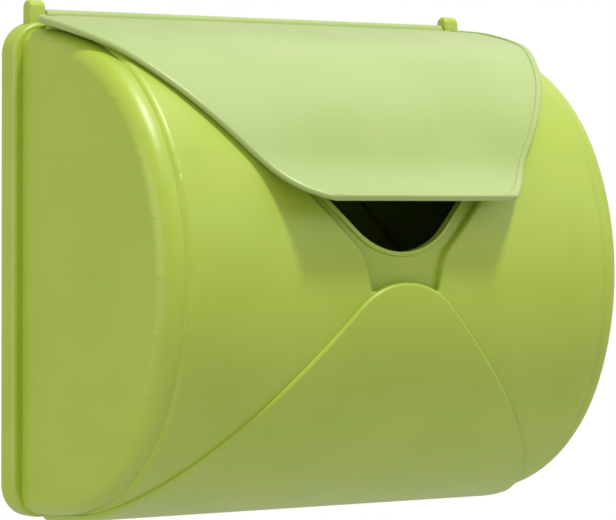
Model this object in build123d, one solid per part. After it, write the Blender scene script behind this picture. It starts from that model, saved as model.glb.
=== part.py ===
"""Wall mounted mailbox: a moulded half-drum shaped like an envelope, on a back plate, with a hinged top flap.

Frame: +Z up, X along the wall, the wall is the plane Y = 0 and the front faces -Y.
Origin: middle of the wall screw pattern, on the wall plane. Millimetres.
"""
from build123d import *
import math
import os

# ---- Back plate -----------------------------------------------------------------------------------------------
PLATE_WIDTH = 290.0
PLATE_HEIGHT = 240.0
PLATE_DEPTH = 11.0
PLATE_CORNER = 16.0
PLATE_WALL = 3.0
RIM_WIDTH = 12.0
RIM_SKIN = 3.0
RIM_ROUNDING = 2.5
SPIGOT_WALL = 2.0
SPIGOT_HEIGHT = 4.0
SPIGOT_CLEARANCE = 0.3
RIB_WIDTH = 5.0
RIB_HEIGHT = 4.0

# ---- Wall screw holes -----------------------------------------------------------------------------------------
WALL_HOLE_SPACING_X = 200.0
WALL_HOLE_SPACING_Z = 160.0
WALL_HOLE_DIAMETER = 5.5
WALL_PAD_DIAMETER = 20.0
WALL_PAD_HEIGHT = 3.0

# ---- Front shell ----------------------------------------------------------------------------------------------
BODY_DEPTH = 133.0
BODY_SETBACK = 1.0
BODY_SAG = 0.4
BELLY_Z = -3.4
END_LEDGE = 5.0
SHELL_WALL = 3.0
FRONT_RADIUS = 136.0
FRONT_ARC = 27.0
CROWN_ARC = 74.0
LOWER_FRONT_ARC = 24.0
LOWER_CROWN_ARC = 85.0
DRUM_END_INSET = 11.4
END_STEP = 1.8
END_ROUNDING = 10.0
DRUM_END_ROUNDING = 4.5
LOWER_FLAP_RISE = 1.7
COLLAR_SINK = 3.7
CREASE_ROUNDING = 1.4

# ---- Envelope outline, front view -----------------------------------------------------------------------------
LOWER_FLAP_TOP = -5.0
LOWER_FLAP_OFFSET = 11.3
COLLAR_FOOT_HALF = 20.4
COLLAR_KNEE_X = 24.6
COLLAR_KNEE_Z = 8.9
COLLAR_KNEE_RADIUS = 18.0
COLLAR_TOP = 101.0
COLLAR_TUCK = 4.0
MOUTH_BOTTOM = 9.6
MOUTH_OFFSET = 6.3
MOUTH_TOP = 92.0
MOUTH_CORNER = 8.0
BEAD_WIDTH = 2.2
BEAD_RISE = 1.2
BEAD_ROUNDING = 0.8

# ---- Lid ------------------------------------------------------------------------------------------------------
LID_WALL = 2.4
LID_RIM_WALL = 3.6
LID_GAP = 0.5
LID_DROP = 0.8
LID_FLARE = 14.6
LID_RIM_WIDTH = 3.8
RIM_EDGE_ROUNDING = 1.3
LID_SIDE_SETBACK = 0.5
LID_EDGE_Z = 35.4
LID_LOWER_HALF = 62.5
LID_LOWER_CORNER = 44.0
LID_KNEE_INSET = 11.8
LID_KNEE_DROP = 16.0
LID_SHOULDER_DROP = 6.0
LID_SHOULDER_BLEND = 9.0
LID_SHOULDER_REAR = 12.6
LID_SHOULDER_CORNER = 15.0

# ---- Hinge ----------------------------------------------------------------------------------------------------
EAR_SPACING = 258.1
EAR_WIDTH = 8.9
EAR_HEIGHT = 11.0
EAR_TOP_DEPTH = 7.7
EAR_BASE_DEPTH = 9.0
EAR_ROUNDING = 1.5
HINGE_DEPTH = 4.6
HINGE_RISE = 3.6
BARREL_RADIUS = 3.0
BARREL_END_GAP = 0.7
PIN_RADIUS = 1.5
PIN_RUNNING_CLEARANCE = 0.08
PIN_SEAT_CLEARANCE = 0.02
PIN_IN_EAR = 4.0
PIN_IN_BARREL = 9.0
PIN_END_GAP = 0.3
PIN_CHAMFER = 0.3
BARREL_ROUNDING = 1.2

# ---- Shell screws ---------------------------------------------------------------------------------------------
SCREW_DIAMETER = 4.0
SCREW_LENGTH = 18.0
SCREW_HEAD_DIAMETER = 8.0
SCREW_HEAD_HEIGHT = 2.8
SCREW_HEAD_ROUNDING = 1.7
SCREW_SEAT_DEPTH = 6.0
SCREW_TIP_RADIUS = 0.4
SCREW_SLOT_LENGTH = 4.6
SCREW_SLOT_WIDTH = 1.0
SCREW_SLOT_DEPTH = 1.6
SCREW_HOLE_CLEARANCE = 0.4
SCREW_HEAD_CLEARANCE = 0.5
SCREW_PILOT_CLEARANCE = 0.1
SCREW_TIP_ROOM = 3.0
SHELL_BOSS_CLEARANCE = 0.3
SCREW_COLUMN_INSET = 10.0
PLATE_BOSS_DIAMETER = 14.0
SHELL_BOSS_DIAMETER = 9.0
SHELL_BOSS_LENGTH = 29.0
BOSS_WEB = 2.5

# ---- Worked out -----------------------------------------------------------------------------------------------
HALF_WIDTH = PLATE_WIDTH / 2
HALF_HEIGHT = PLATE_HEIGHT / 2
TOP_Z = HALF_HEIGHT - BODY_SETBACK
BOTTOM_Z = -HALF_HEIGHT - BODY_SAG
END_HALF = HALF_WIDTH - END_LEDGE
DRUM_HALF = END_HALF - DRUM_END_INSET
HINGE_Z = HALF_HEIGHT + HINGE_RISE
LID_HALF_WIDTH = END_HALF - LID_SIDE_SETBACK
EAR_X = EAR_SPACING / 2
EAR_INNER = EAR_X - EAR_WIDTH / 2
BARREL_HALF = EAR_INNER - BARREL_END_GAP
REACH = 400.0
NEAR = 0.01


def write(part, name):
    """Write one sub-part as its own STEP file."""
    os.makedirs("parts", exist_ok=True)
    part.label = name
    export_step(part, f"parts/{name}.step")


def mirrored(points):
    """Repeat a right-hand outline, listed from the middle outwards, on the left, as one closed loop."""
    return points + [(-x, z) for x, z in reversed(points) if x]


def half_section(half_height, front_arc, crown_arc):
    """Centres and radii of the front, shoulder and crown arcs of one half of the drum's section.

    The arcs run into each other at the two given normals, from the belly to a crown above the wall plane.
    """
    a, b = math.radians(front_arc), math.radians(crown_arc)
    ahead = BODY_DEPTH - FRONT_RADIUS * (1 - math.cos(a))
    above = half_height - FRONT_RADIUS * math.sin(a)
    spread = (math.cos(b) - math.cos(a)) * (1 - math.sin(b)) - math.cos(b) * (math.sin(a) - math.sin(b))
    shoulder = (-ahead * (1 - math.sin(b)) + above * math.cos(b)) / spread
    crown = (ahead + (math.cos(b) - math.cos(a)) * shoulder) / math.cos(b)
    step = FRONT_RADIUS - shoulder
    front_centre = (BODY_DEPTH - FRONT_RADIUS, 0.0)
    shoulder_centre = (front_centre[0] + step * math.cos(a), step * math.sin(a))
    crown_centre = (0.0, half_height - crown)
    return (front_centre, FRONT_RADIUS), (shoulder_centre, shoulder), (crown_centre, crown)


def skin_point(degrees, level):
    """Point of the drum's section whose normal rises by this many degrees, lifted off the skin by level."""
    if degrees >= 0:
        arcs = half_section(TOP_Z - BELLY_Z, FRONT_ARC, CROWN_ARC)
        limits = (FRONT_ARC, CROWN_ARC)
    else:
        arcs = half_section(BELLY_Z - BOTTOM_Z, LOWER_FRONT_ARC, LOWER_CROWN_ARC)
        limits = (LOWER_FRONT_ARC, LOWER_CROWN_ARC)
    steepness = abs(degrees)
    centre, radius = arcs[(steepness > limits[0]) + (steepness > limits[1])]
    angle = math.radians(steepness)
    out = centre[0] + (radius + level) * math.cos(angle)
    up = centre[1] + (radius + level) * math.sin(angle)
    return (-out, BELLY_Z + math.copysign(up, degrees))


def skin_arc(start, end, level):
    """Arc of the drum's section between two normals, lifted off the skin by level."""
    middle = (start + end) / 2
    return ThreePointArc(*(skin_point(angle, level) for angle in (start, middle, end)))


def drum(half_length, level, rounding=0.0):
    """Half-drum in front of the plate, its section of tangent arcs grown or shrunk by level."""
    joints = [-90, -LOWER_CROWN_ARC, -LOWER_FRONT_ARC, 0, FRONT_ARC, CROWN_ARC, 90]
    arcs = [skin_arc(start, end, level) for start, end in zip(joints, joints[1:])]
    front = make_face(arcs + [Line(skin_point(90, level), skin_point(-90, level))])
    face = (front + mirror(front, Plane.YZ)).clean()
    solid = extrude(Plane.YZ * face, half_length, both=True)
    if rounding:
        ends = solid.edges().group_by(Axis.X)
        solid = fillet(ends[0] + ends[-1], rounding)
    return solid - Pos(0, REACH / 2 - PLATE_DEPTH, 0) * Box(2 * REACH, REACH, 2 * REACH)


def v_outline(offset, bottom, top, corner):
    """Upright V with 45 degree sides and a round foot: x = z + offset on the right, closed at the top."""
    tip = -offset
    foot_radius = (bottom - tip) / (math.sqrt(2) - 1)
    tangent = foot_radius / math.sqrt(2)
    low = (tangent, tip + tangent)
    high = (top + offset, top)
    left_high, left_low = (-high[0], high[1]), (-low[0], low[1])
    sides = [Line(low, high), Line(high, left_high), Line(left_high, left_low)]
    face = make_face([ThreePointArc(left_low, (0, bottom), low)] + sides)
    if corner:
        face = fillet(face.vertices().group_by(Axis.Y)[-1], corner)
    return face


def face_prism(face):
    """Sweep a face, drawn as X and Z, along the whole depth of the mailbox."""
    return extrude(Plane.XZ * face, REACH, both=True)


def at_height(face, height):
    """Corners of a drawn face at one height."""
    return face.vertices().filter_by(lambda v: abs(v.Y - height) < NEAR)


def collar_face(grow):
    """Sunk field between the side flaps: narrow foot, knee, then 45 degree sides up to its top edge."""
    knee = (COLLAR_KNEE_X, COLLAR_KNEE_Z)
    foot = (COLLAR_FOOT_HALF, LOWER_FLAP_TOP - COLLAR_TUCK)
    rise = COLLAR_TOP - COLLAR_KNEE_Z
    high = (knee[0] + rise, COLLAR_TOP)
    face = make_face(Polyline(*mirrored([foot, knee, high]), close=True))
    face = fillet(at_height(face, COLLAR_KNEE_Z), COLLAR_KNEE_RADIUS)
    return offset(face, grow) if grow else face


def lower_flap_face(shrink):
    """Lower flap: an inverted V with a round top, cut off square at the drum's ends."""
    top = LOWER_FLAP_TOP - shrink
    run = LOWER_FLAP_OFFSET - shrink * math.sqrt(2)
    face = mirror(v_outline(run, -top, REACH / 2, 0), Plane.XZ)
    return face & Rectangle(2 * (DRUM_HALF - shrink), REACH)


def rounded_drum(half_length, level, face, keep, rounding, end_rounding=0.0):
    """Drum trimmed by a front outline, with the trimmed edge on its outer skin rounded off."""
    whole = drum(half_length, level, end_rounding)
    prism = face_prism(face)
    part = whole & prism if keep else whole - prism
    if not rounding:
        return part
    rear = -PLATE_DEPTH - CREASE_ROUNDING
    fresh = new_edges(whole, prism, combined=part)
    skin = [e for e in fresh if e.center().Y < rear and abs(e.tangent_at(0.5).Y) < 1 - NEAR]
    return fillet(skin, rounding)


def envelope_form(inset):
    """Solid envelope-shaped half-drum; with an inset it is the hollow that leaves an even wall."""
    rounding = 0.0 if inset else CREASE_ROUNDING
    collar = collar_face(inset)
    middle = Box(2 * DRUM_HALF, 2 * REACH, 2 * REACH)
    ends = drum(END_HALF - inset, -END_STEP - inset, END_ROUNDING - inset)
    ends -= face_prism(collar) & middle
    length = DRUM_HALF - inset
    soft = DRUM_END_ROUNDING - inset
    side_flaps = rounded_drum(length, -inset, collar, False, rounding, soft)
    flap = lower_flap_face(inset)
    lower_flap = rounded_drum(length, LOWER_FLAP_RISE - inset, flap, True, rounding, soft)
    collar_floor = drum(DRUM_HALF, -COLLAR_SINK - inset)
    return ends + collar_floor + side_flaps + lower_flap


def along_y(x, z, near, far, radius):
    """Round bar along Y at x, z, from one distance off the wall to another."""
    bar = Cylinder(radius, far - near)
    return Pos(x, -(near + far) / 2, z) * Rot(X=90) * bar


def spigot_half_height():
    """Half height of the locating wall: inside the shell's skin, less the fall of its crown at the wall's front."""
    crown = half_section(TOP_Z - BELLY_Z, FRONT_ARC, CROWN_ARC)[2][1] - END_STEP - SHELL_WALL
    fall = crown - math.sqrt(crown**2 - (PLATE_DEPTH + SPIGOT_HEIGHT) ** 2)
    return TOP_Z - END_STEP - SHELL_WALL - SPIGOT_CLEARANCE - fall


def screw_places():
    """Two rows of shell screws, just inside the spigot's top and bottom walls."""
    outer = DRUM_HALF - SCREW_COLUMN_INSET
    inner = outer / 3
    rows = spigot_half_height() - SPIGOT_WALL - SHELL_BOSS_CLEARANCE - SHELL_BOSS_DIAMETER / 2
    return [(x, z) for z in (-rows, rows) for x in (-outer, -inner, inner, outer)]


def make_front_shell():
    """Hollow shell: even wall, mouth with its bead, and a webbed boss for each screw."""
    outer = envelope_form(0.0)
    shell = outer - envelope_form(SHELL_WALL)
    mouth = v_outline(MOUTH_OFFSET, MOUTH_BOTTOM, MOUTH_TOP, MOUTH_CORNER)
    run = MOUTH_OFFSET + BEAD_WIDTH * math.sqrt(2)
    around = v_outline(run, MOUTH_BOTTOM - BEAD_WIDTH, MOUTH_TOP + BEAD_WIDTH, MOUTH_CORNER + BEAD_WIDTH)
    bead = rounded_drum(DRUM_HALF, BEAD_RISE - COLLAR_SINK, around, True, BEAD_ROUNDING)
    shell += bead - drum(DRUM_HALF, -COLLAR_SINK - SHELL_WALL)
    shell -= face_prism(mouth)
    for x, z in screw_places():
        boss = along_y(x, z, PLATE_DEPTH, PLATE_DEPTH + SHELL_BOSS_LENGTH, SHELL_BOSS_DIAMETER / 2)
        start = PLATE_DEPTH + SPIGOT_HEIGHT + SPIGOT_CLEARANCE
        web_length = PLATE_DEPTH + SHELL_BOSS_LENGTH - start
        web = Box(BOSS_WEB, web_length, REACH, align=(Align.CENTER, Align.MAX, Align.MIN))
        web = Pos(x, -start, z) * (web if z > 0 else Rot(Y=180) * web)
        boss = (boss + web) & outer
        pilot_end = SCREW_SEAT_DEPTH + SCREW_LENGTH + SCREW_TIP_ROOM
        pilot = along_y(x, z, 0, pilot_end, (SCREW_DIAMETER + SCREW_PILOT_CLEARANCE) / 2)
        shell = shell + boss - pilot
    return shell


def plate_block(inset, near, far, corner):
    """Rounded rectangular slab, inset from the plate's edge, between two distances off the wall."""
    face = RectangleRounded(PLATE_WIDTH - 2 * inset, PLATE_HEIGHT - 2 * inset, corner)
    return Pos(0, -near, 0) * extrude(Plane.XZ * face, far - near)


def make_ear(x):
    """Hinge ear: a tapered lug with a round top and a blind bore on its inner face."""
    top = HALF_HEIGHT + EAR_HEIGHT
    root = HALF_HEIGHT - RIM_SKIN
    radius = EAR_TOP_DEPTH / 2
    outline = Polyline(
        (0, root), (0, top - radius), (-EAR_TOP_DEPTH, top - radius), (-EAR_BASE_DEPTH, root), close=True
    )
    section = make_face(outline) + Pos(-radius, top - radius) * Circle(radius)
    ear = extrude(Plane.YZ * section, EAR_WIDTH / 2, both=True)
    for end in (0, -1):
        free = ear.edges().group_by(Axis.X)[end].filter_by(lambda e: e.center().Z > HALF_HEIGHT)
        ear = fillet(free, EAR_ROUNDING)
    bore_radius = PIN_RADIUS + PIN_RUNNING_CLEARANCE
    bore = Rot(Y=90) * Cylinder(bore_radius, 2 * (PIN_IN_EAR + PIN_END_GAP))
    side = 1 if x > 0 else -1
    bore = Pos(-side * EAR_WIDTH / 2, -HINGE_DEPTH, HINGE_Z) * bore
    return Pos(x, 0, 0) * (ear - bore)


def make_back_plate():
    """Shallow tray with a hollow rim, spigot, bosses, diagonal ribs, wall holes and hinge ears."""
    plate = plate_block(0, 0, PLATE_DEPTH, PLATE_CORNER)
    front_edges = plate.edges().group_by(Axis.Y)[0]
    plate = fillet(front_edges, RIM_ROUNDING)
    plate -= plate_block(RIM_WIDTH, PLATE_WALL, PLATE_DEPTH, PLATE_CORNER - RIM_SKIN)
    groove = plate_block(RIM_SKIN, 0, PLATE_DEPTH - RIM_SKIN, PLATE_CORNER - RIM_SKIN)
    groove -= plate_block(RIM_WIDTH - RIM_SKIN, 0, PLATE_DEPTH, PLATE_CORNER - RIM_SKIN)
    plate -= groove
    plate += make_spigot() + make_ribs()
    for x, z in screw_places():
        plate += along_y(x, z, 0, PLATE_DEPTH, PLATE_BOSS_DIAMETER / 2)
    for x in (-WALL_HOLE_SPACING_X / 2, WALL_HOLE_SPACING_X / 2):
        for z in (-WALL_HOLE_SPACING_Z / 2, WALL_HOLE_SPACING_Z / 2):
            plate += along_y(x, z, 0, PLATE_WALL + WALL_PAD_HEIGHT, WALL_PAD_DIAMETER / 2)
            plate -= along_y(x, z, 0, PLATE_WALL + WALL_PAD_HEIGHT, WALL_HOLE_DIAMETER / 2)
    for x, z in screw_places():
        plate -= along_y(x, z, 0, PLATE_DEPTH, (SCREW_DIAMETER + SCREW_HOLE_CLEARANCE) / 2)
        plate -= along_y(x, z, 0, SCREW_SEAT_DEPTH, (SCREW_HEAD_DIAMETER + SCREW_HEAD_CLEARANCE) / 2)
    for x in (-EAR_X, EAR_X):
        plate += make_ear(x)
    return plate


def make_spigot():
    """Low wall on the rim that locates the shell from inside."""
    gap = SHELL_WALL + SPIGOT_CLEARANCE
    width = 2 * (END_HALF - gap)
    height = 2 * spigot_half_height()
    corner = END_ROUNDING - SHELL_WALL + SPIGOT_CLEARANCE
    ring = RectangleRounded(width, height, corner)
    ring -= RectangleRounded(width - 2 * SPIGOT_WALL, height - 2 * SPIGOT_WALL, corner - SPIGOT_WALL)
    return Pos(0, -PLATE_DEPTH, 0) * extrude(Plane.XZ * ring, SPIGOT_HEIGHT)


def make_ribs():
    """Diagonal ribs on the plate's inner face, in a diamond, kept inside the tray."""
    half = HALF_HEIGHT - RIM_WIDTH
    bar = Pos(0, -PLATE_WALL - RIB_HEIGHT / 2, 0) * Box(half * math.sqrt(2), RIB_HEIGHT, RIB_WIDTH)
    rising = Rot(Y=-45) * bar
    falling = Rot(Y=45) * bar
    reach = half / 2
    upper = Pos(-reach, 0, reach) * rising + Pos(reach, 0, reach) * falling
    lower = Pos(-reach, 0, -reach) * falling + Pos(reach, 0, -reach) * rising
    return upper + lower


def lid_band(thickness):
    """Sheet of the lid across its whole width: hinge to crest, round the drum, then flared out."""
    level = LID_GAP + LID_RIM_WALL / 2
    body = skin_arc(CROWN_ARC, FRONT_ARC, level)
    hinge = (-HINGE_DEPTH, HINGE_Z - LID_DROP)
    crest = TangentArc(body @ 0, hinge, tangent=-(body % 0))
    flare = TangentArc(body @ 1, (-BODY_DEPTH - LID_FLARE, LID_EDGE_Z), tangent=body % 1)
    section = trace(crest, thickness) + trace(body, thickness) + trace(flare, thickness)
    return extrude(Plane.YZ * section, HALF_WIDTH, both=True)


def lid_outline(inset):
    """Region the lid fills, as a front outline crossed with a plan outline, pulled in by an inset."""
    bottom = LID_EDGE_Z - LID_WALL
    knee = (LID_HALF_WIDTH - LID_KNEE_INSET, HALF_HEIGHT - LID_KNEE_DROP)
    shoulder = (LID_HALF_WIDTH, HALF_HEIGHT - LID_SHOULDER_DROP)
    corners = [(LID_LOWER_HALF, bottom), knee, shoulder, (LID_HALF_WIDTH, HALF_HEIGHT + REACH)]
    front = make_face(Polyline(*mirrored(corners), close=True))
    front = fillet(at_height(front, bottom), LID_LOWER_CORNER)
    front = fillet(at_height(front, knee[1]), LID_LOWER_CORNER)
    front = fillet(at_height(front, shoulder[1]), LID_SHOULDER_BLEND)
    if inset:
        front = offset(front, -inset)
    rear = -LID_SHOULDER_REAR - inset
    side = LID_HALF_WIDTH - inset
    steps = [(BARREL_HALF, 0), (BARREL_HALF, rear), (side, rear), (side, -REACH)]
    plan = make_face(Polyline(*mirrored(steps), close=True))
    outer = at_height(plan, rear).filter_by(lambda v: abs(v.X) > BARREL_HALF + NEAR)
    plan = fillet(outer, LID_SHOULDER_CORNER - inset)
    return face_prism(front) & extrude(plan, REACH, both=True)


def on_side_wall(edge):
    """True for the straight seams that run through the lid's thickness, along Y or Z."""
    run = edge.tangent_at(0.5)
    return edge.geom_type == GeomType.LINE and max(abs(run.Y), abs(run.Z)) > 1 - NEAR


def make_lid():
    """Curved flap: thin sheet inside a thicker rounded rim, with the hinge barrel along its rear edge."""
    inside = lid_outline(LID_RIM_WIDTH)
    whole = lid_band(LID_RIM_WALL)
    outline = lid_outline(0)
    rim = whole & outline
    fresh = new_edges(whole, outline, combined=rim)
    around = [e for e in fresh if e.center().Y < -LID_SHOULDER_REAR - 1 and not on_side_wall(e)]
    lip = [e for e in rim.edges().filter_by(Axis.X) if e.center().Y < -BODY_DEPTH - LID_FLARE / 2]
    rim = fillet(around + lip, RIM_EDGE_ROUNDING)
    rim -= inside
    lid = rim + (lid_band(LID_WALL) & inside)
    barrel = Rot(Y=90) * Cylinder(BARREL_RADIUS, 2 * BARREL_HALF)
    barrel = fillet(barrel.edges(), BARREL_ROUNDING)
    lid += Pos(0, -HINGE_DEPTH, HINGE_Z) * barrel
    bore = Rot(Y=90) * Cylinder(PIN_RADIUS + PIN_SEAT_CLEARANCE, 2 * (PIN_IN_BARREL + PIN_END_GAP))
    for side in (-1, 1):
        lid -= Pos(side * BARREL_HALF, -HINGE_DEPTH, HINGE_Z) * bore
    return lid


def make_hinge_pin(side):
    """Short round pin from the lid's barrel into the ear on one side."""
    inner = BARREL_HALF - PIN_IN_BARREL
    outer = EAR_INNER + PIN_IN_EAR
    pin = Rot(Y=90) * Cylinder(PIN_RADIUS, outer - inner)
    pin = chamfer(pin.edges().filter_by(GeomType.CIRCLE), PIN_CHAMFER)
    return Pos(side * (inner + outer) / 2, -HINGE_DEPTH, HINGE_Z) * pin


def make_screw():
    """Pan head self-tapping screw: head below the origin, shank above it, cross recess in the head."""
    below = (Align.CENTER, Align.CENTER, Align.MAX)
    above = (Align.CENTER, Align.CENTER, Align.MIN)
    head = Cylinder(SCREW_HEAD_DIAMETER / 2, SCREW_HEAD_HEIGHT, align=below)
    head = fillet(head.edges().group_by(Axis.Z)[0], SCREW_HEAD_ROUNDING)
    shank_length = SCREW_LENGTH - SCREW_DIAMETER
    shank = Cylinder(SCREW_DIAMETER / 2, shank_length, align=above)
    tip = Cone(SCREW_DIAMETER / 2, SCREW_TIP_RADIUS, SCREW_DIAMETER, align=above)
    screw = head + shank + Pos(0, 0, shank_length) * tip
    for turn in (0, 90):
        slot = Box(SCREW_SLOT_LENGTH, SCREW_SLOT_WIDTH, 2 * SCREW_SLOT_DEPTH)
        screw -= Pos(0, 0, -SCREW_HEAD_HEIGHT) * Rot(Z=turn) * slot
    return screw


def make_shell_screws():
    """One screw in every plate boss, driven from the wall side."""
    screws = [Pos(x, -SCREW_SEAT_DEPTH, z) * Rot(X=90) * make_screw() for x, z in screw_places()]
    return Compound(children=screws)


write(make_front_shell(), "front_shell")
write(make_back_plate(), "back_plate")
write(make_lid(), "lid")
write(make_hinge_pin(-1), "hinge_pin_left")
write(make_hinge_pin(1), "hinge_pin_right")
write(make_shell_screws(), "shell_screws")
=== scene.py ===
"""Looks of the wall mounted mailbox: moulded lime plastic, zinc plated steel, a pale studio and the camera."""
import math

import bpy
from mathutils import Matrix, Vector

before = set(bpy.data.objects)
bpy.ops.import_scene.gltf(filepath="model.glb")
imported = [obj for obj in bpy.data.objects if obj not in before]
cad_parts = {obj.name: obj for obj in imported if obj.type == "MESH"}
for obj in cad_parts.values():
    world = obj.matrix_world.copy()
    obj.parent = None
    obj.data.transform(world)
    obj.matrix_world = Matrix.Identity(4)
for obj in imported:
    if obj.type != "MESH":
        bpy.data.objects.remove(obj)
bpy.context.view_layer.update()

MM = 0.001

# ---- Camera: height and turn of a long lens in front of the mailbox's left end -----------------------------
CAMERA_TURN = math.radians(36.776)
CAMERA_DIP = math.radians(1.1095)
CAMERA_ROLL = math.radians(0.18)
CAMERA_DISTANCE = 1.7596
CAMERA_RIGHT = 0.03225
CAMERA_UP = 0.00356
LENS_MM = 201.87
SENSOR_MM = 36.0

# ---- Finish ------------------------------------------------------------------------------------------------
PLASTIC_IOR = 1.58
PLASTIC_ROUGHNESS = 0.36
SINK_SPACING_MM = 27.5
SINK_DEPTH = 1.5
END_FACE_FROM = 0.1375
END_FACE_TO = 0.139

# ---- Studio ------------------------------------------------------------------------------------------------
FLOOR_RADIUS = 4.2
FLOOR_Z = -0.55
SURROUND_LIGHT = 0.6

# ---- Colours, linear ---------------------------------------------------------------------------------------
LIME = (0.345, 0.455, 0.034, 1.0)
LIME_PALE = (0.365, 0.475, 0.042, 1.0)
LIME_DEEP = (0.29, 0.40, 0.024, 1.0)
# Lid colours: paler and bluer than the body's lime. This is painted sheen, standing in for the lid's specular
# highlight.
FLAP_LIME_PAINTED_SHEEN = (0.315, 0.41, 0.115, 1.0)
FLAP_PALE_PAINTED_SHEEN = (0.335, 0.43, 0.13, 1.0)
ZINC = (0.62, 0.63, 0.64, 1.0)
ZINC_DULL = (0.42, 0.42, 0.43, 1.0)


class Value:
    """A shader number that Python arithmetic turns into Math nodes."""

    def __init__(self, finish, socket):
        self.finish = finish
        self.socket = socket

    def math(self, operation, *others):
        inputs = {0: self}
        inputs.update({i + 1: other for i, other in enumerate(others)})
        return self.finish.node("ShaderNodeMath", {"operation": operation}, inputs).out(0)

    def __add__(self, other):
        return self.math("ADD", other)

    __radd__ = __add__

    def __mul__(self, other):
        return self.math("MULTIPLY", other)

    __rmul__ = __mul__

    def __sub__(self, other):
        return self.math("SUBTRACT", other)

    def __rsub__(self, other):
        return (self * -1.0) + other

    def __truediv__(self, other):
        return self.math("DIVIDE", other)

    def __abs__(self):
        return self.math("ABSOLUTE")

    def between(self, low, high):
        """0 below low, 1 above high, smooth between."""
        settings = {"interpolation_type": "SMOOTHSTEP"}
        inputs = {"Value": self, "From Min": low, "From Max": high}
        return self.finish.node("ShaderNodeMapRange", settings, inputs).out(0)


class Made:
    """A node that has been added, for reading its outputs."""

    def __init__(self, finish, node):
        self.finish = finish
        self.node = node

    def out(self, name):
        return Value(self.finish, self.node.outputs[name])


class Finish:
    """One material, built node by node around a Principled shader."""

    def __init__(self, name):
        self.material = bpy.data.materials.new(name)
        self.material.use_nodes = True
        self.tree = self.material.node_tree
        self.tree.nodes.clear()
        self.shader = self.tree.nodes.new("ShaderNodeBsdfPrincipled")
        output = self.tree.nodes.new("ShaderNodeOutputMaterial")
        self.tree.links.new(self.shader.outputs["BSDF"], output.inputs["Surface"])
        self.place = self.node("ShaderNodeTexCoord", {}, {}).out("Object")

    def feed(self, node, inputs):
        for name, value in inputs.items():
            if isinstance(value, Value):
                self.tree.links.new(value.socket, node.inputs[name])
            else:
                node.inputs[name].default_value = value

    def node(self, kind, settings, inputs):
        """Add a node of any type: its settings first, then its sockets' values or links."""
        node = self.tree.nodes.new(kind)
        for name, value in settings.items():
            setattr(node, name, value)
        self.feed(node, inputs)
        return Made(self, node)

    def noise(self, size_mm, detail=3.0, roughness=0.5, stretch=(1, 1, 1)):
        """Soft noise whose lumps are about size_mm across, from 0 to 1."""
        scaled = self.node("ShaderNodeMapping", {}, {"Vector": self.place, "Scale": stretch}).out("Vector")
        inputs = {"Vector": scaled, "Scale": 1 / (size_mm * MM), "Detail": detail, "Roughness": roughness}
        return self.node("ShaderNodeTexNoise", {}, inputs).out(0)

    def blend(self, factor, low, high):
        """Mix two colours, or a colour made earlier and another."""
        made = self.node("ShaderNodeMix", {"data_type": "RGBA"}, {0: factor, 6: low, 7: high})
        return made.out(2)

    def axis(self, name):
        return self.node("ShaderNodeSeparateXYZ", {}, {"Vector": self.place}).out(name)

    def bump(self, height, depth_mm):
        inputs = {"Height": height, "Strength": 1.0, "Distance": depth_mm * MM}
        return self.node("ShaderNodeBump", {}, inputs).out("Normal")

    def surface(self, **sockets):
        """Set the shader's own sockets; underscores in a name stand for spaces."""
        self.feed(self.shader, {name.replace("_", " "): value for name, value in sockets.items()})
        return self.material


def moulded_plastic(name, low, high, sink_marks):
    """Satin moulded plastic: faint cloudy colour, fine spark-eroded grain, flow waviness, small scuffs."""
    finish = Finish(name)
    cloud = finish.noise(60.0, 2.0)
    fleck = finish.noise(1.6, 4.0, 0.6)
    colour = finish.blend(cloud.between(0.35, 0.65), low, high)
    colour = finish.blend(fleck.between(0.68, 0.8) * 0.10, colour, LIME_DEEP)
    scuffs = finish.noise(7.0, 6.0, 0.75, (1.0, 1.0, 5.0)).between(0.60, 0.72)
    grain = finish.noise(0.45, 2.0, 0.6)
    waves = finish.noise(26.0, 1.0, 0.4)
    height = grain * 0.10 + waves * 1.0
    if sink_marks:
        rows = finish.axis("Z").math("MULTIPLY", 2 * math.pi / (SINK_SPACING_MM * MM)).math("COSINE")
        ends = abs(finish.axis("X")).between(END_FACE_FROM, END_FACE_TO)
        height = height + rows.between(0.85, 1.0) * ends * SINK_DEPTH
    roughness = grain * 0.05 + scuffs * 0.10 + cloud * 0.05 + PLASTIC_ROUGHNESS
    return finish.surface(
        Base_Color=colour,
        Roughness=roughness,
        Normal=finish.bump(height, 0.12),
        IOR=PLASTIC_IOR,
    )


def plated_steel(name):
    """Dull zinc plating with a turned grain and darker handling marks."""
    finish = Finish(name)
    marks = finish.noise(2.5, 4.0, 0.6)
    grain = finish.noise(0.3, 2.0, 0.5, (8.0, 1.0, 1.0))
    return finish.surface(
        Base_Color=finish.blend(marks.between(0.45, 0.7), ZINC, ZINC_DULL),
        Metallic=1.0,
        Roughness=marks * 0.2 + grain * 0.1 + 0.22,
        Normal=finish.bump(grain, 0.03),
    )


def dress(node, material):
    """Give every slot of a modelled part the same finish."""
    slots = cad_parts[node].data.materials
    for index in range(len(slots)):
        slots[index] = material


def dress_parts():
    body = moulded_plastic("satin_lime_body", LIME, LIME_PALE, True)
    # The lid's finish uses the paler, bluer lime, which is painted sheen in its base colour.
    flap = moulded_plastic("satin_lime_flap_painted_sheen", FLAP_LIME_PAINTED_SHEEN, FLAP_PALE_PAINTED_SHEEN, False)
    steel = plated_steel("zinc_plated_steel")
    dress("back_plate", moulded_plastic("satin_lime_plate", LIME, LIME_PALE, False))
    dress("front_shell", body)
    dress("lid", flap)
    for node in ("hinge_pin_left", "hinge_pin_right", "shell_screws"):
        dress(node, steel)


def aim(location, target):
    """Rotation that points an object's -Z at the target."""
    return (Vector(target) - Vector(location)).to_track_quat("-Z", "Y").to_euler()


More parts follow.
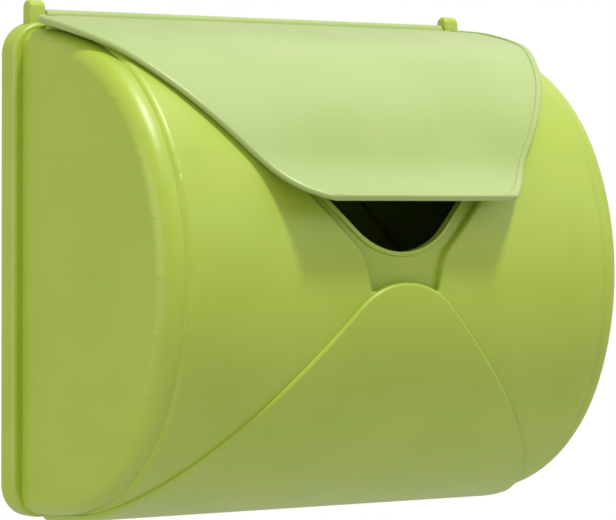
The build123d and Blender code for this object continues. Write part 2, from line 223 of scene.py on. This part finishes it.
def softbox(name, location, target, width, height, power):
    lamp = bpy.data.lights.new(name, "AREA")
    lamp.shape = "RECTANGLE"
    lamp.size, lamp.size_y = width, height
    lamp.energy = power
    item = bpy.data.objects.new(name, lamp)
    item.location = location
    item.rotation_euler = aim(location, target)
    bpy.context.scene.collection.objects.link(item)


def set_studio():
    """Pale round floor well below the box, an even white surround and four soft lights."""
    place = (0, 0, FLOOR_Z)
    bpy.ops.mesh.primitive_circle_add(vertices=96, radius=FLOOR_RADIUS, fill_type="NGON", location=place)
    floor = bpy.context.object
    floor.name = "studio_floor"
    finish = Finish("pale_floor")
    patches = finish.noise(900.0, 2.0)
    pale = finish.blend(patches, (0.54, 0.54, 0.54, 1), (0.58, 0.58, 0.58, 1))
    floor.data.materials.append(finish.surface(Base_Color=pale, Roughness=patches * 0.1 + 0.8))
    set_surround()
    softbox("key_light", (0.22, -0.92, 2.15), (0, -0.06, 0.03), 0.26, 0.26, 42)
    softbox("overhead_light", (1.5, 0.5, 1.5), (0, -0.06, 0.03), 1.8, 2.2, 9)
    softbox("front_light", (1.9, -2.0, 1.3), (0, -0.06, 0.03), 1.6, 1.6, 10)
    softbox("left_fill", (-2.6, -0.5, 0.5), (0, -0.06, 0), 1.8, 1.8, 21)


def set_surround():
    """White backdrop: bright where the camera sees it, dimmer where it lights the box."""
    world = bpy.data.worlds.new("studio_surround")
    world.use_nodes = True
    tree = world.node_tree
    seen = tree.nodes.new("ShaderNodeLightPath")
    strength = tree.nodes.new("ShaderNodeMapRange")
    strength.inputs["To Min"].default_value = SURROUND_LIGHT
    strength.inputs["To Max"].default_value = 1.0
    tree.links.new(seen.outputs["Is Camera Ray"], strength.inputs["Value"])
    backdrop = tree.nodes["Background"]
    backdrop.inputs["Color"].default_value = (1, 1, 1, 1)
    tree.links.new(strength.outputs[0], backdrop.inputs["Strength"])
    bpy.context.scene.world = world
    bpy.context.scene.view_settings.view_transform = "Standard"


def set_camera():
    turn, dip = CAMERA_TURN, CAMERA_DIP
    forward = Vector((math.sin(turn) * math.cos(dip), math.cos(turn) * math.cos(dip), -math.sin(dip)))
    level = Vector((math.cos(turn), -math.sin(turn), 0))
    upright = level.cross(forward)
    right = level * math.cos(CAMERA_ROLL) + upright * math.sin(CAMERA_ROLL)
    up = upright * math.cos(CAMERA_ROLL) - level * math.sin(CAMERA_ROLL)
    place = level * CAMERA_RIGHT + upright * CAMERA_UP - forward * CAMERA_DISTANCE
    lens = bpy.data.cameras.new("studio_camera")
    lens.lens = LENS_MM
    lens.sensor_width = SENSOR_MM
    lens.clip_start, lens.clip_end = 0.05, 60
    camera = bpy.data.objects.new("studio_camera", lens)
    turned = Matrix((right, up, -forward)).transposed().to_4x4()
    camera.matrix_world = Matrix.Translation(place) @ turned
    bpy.context.scene.collection.objects.link(camera)
    bpy.context.scene.camera = camera


set_camera()
set_studio()
dress_parts()
